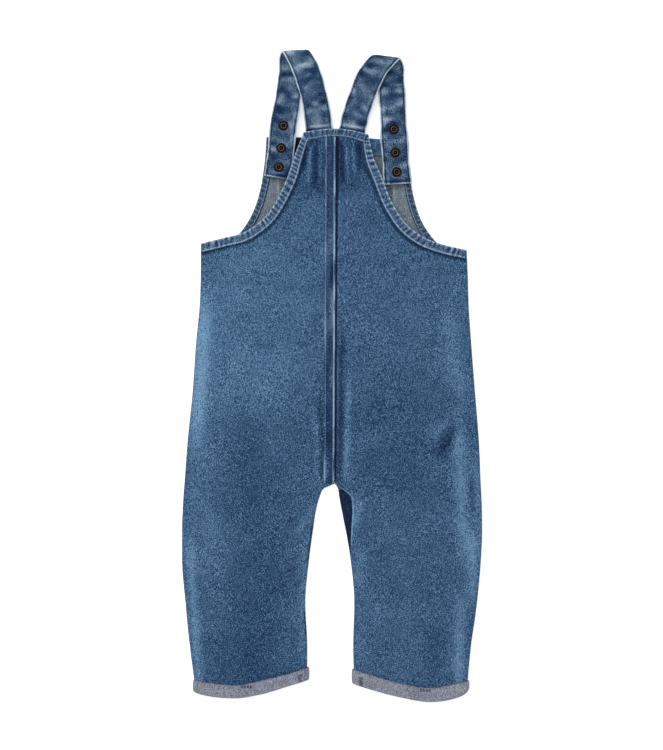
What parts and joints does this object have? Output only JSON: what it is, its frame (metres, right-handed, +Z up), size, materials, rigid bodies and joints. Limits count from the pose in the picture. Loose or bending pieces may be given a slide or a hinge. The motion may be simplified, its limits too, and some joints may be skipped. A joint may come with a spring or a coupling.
{
  "type": "baby dungarees laid flat",
  "caption": "Baby's denim dungarees laid flat, back upwards: bib, shoulder straps with snaps looped over, felled back seam, straight legs with rolled cuffs.",
  "frame": {"origin": "on the surface that the garment lies on, under the middle of its outline", "axes": "+X across the garment, towards the wearer's right; +Y from the hems towards the shoulders; +Z up, out of the back"},
  "size_m": [0.2764, 0.5994, 0.0121],
  "materials": {
    "denim": "mid-blue washed denim, matt, with pale worn edges and a fine twill",
    "denim_reverse": "grey-blue reverse of the denim, matt",
    "label_cloth": "black woven label, plain",
    "snap_metal": "dark antique brass, worn bright on the inner ring"
  },
  "bodies": {
    "root": {"back_left": "denim", "back_right": "denim", "back_seam_fell": "denim", "back_top_band_left": "denim", "back_top_band_right": "denim", "back_armhole_band_left": "denim", "back_armhole_band_right": "denim", "front_left": "denim", "front_right": "denim", "front_armhole_facing_left": "denim", "front_armhole_facing_right": "denim", "bib_facing": "denim", "bib_label": "label_cloth", "strap_left": "denim", "strap_right": "denim", "cuff_left": "denim_reverse", "cuff_right": "denim_reverse", "snap_left_1": "snap_metal", "snap_left_2": "snap_metal", "snap_left_3": "snap_metal", "snap_right_1": "snap_metal", "snap_right_2": "snap_metal", "snap_right_3": "snap_metal", "bib_snap_left": "snap_metal", "bib_snap_right": "snap_metal"}
  },
  "joints": []
}
